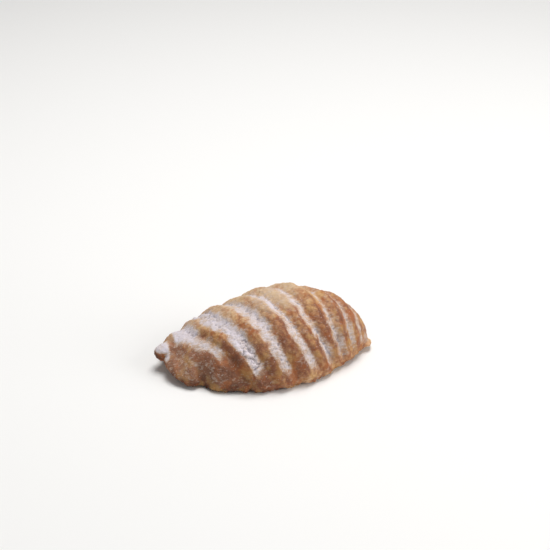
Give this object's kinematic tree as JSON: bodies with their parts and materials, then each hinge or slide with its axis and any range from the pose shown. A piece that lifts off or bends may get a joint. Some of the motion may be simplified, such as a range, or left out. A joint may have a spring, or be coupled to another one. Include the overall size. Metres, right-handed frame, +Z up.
{
  "type": "apple tart",
  "caption": "Filled apple pastry: a plump spindle of comb-ridged shortcrust wound round its apple, pinched to a knob at one tip and a thin lip at the other, dusted with icing sugar.",
  "frame": {"origin": "middle of the footprint, on the surface that the pastry stands on", "axes": "+X along the pastry from its pinched knob to its torn lip, +Y to the far side, +Z up"},
  "size_m": [0.088, 0.0512, 0.0292],
  "materials": {
    "crust": "matte baked shortcrust under icing sugar"
  },
  "bodies": {
    "root": {"pastry": "crust"}
  },
  "joints": []
}
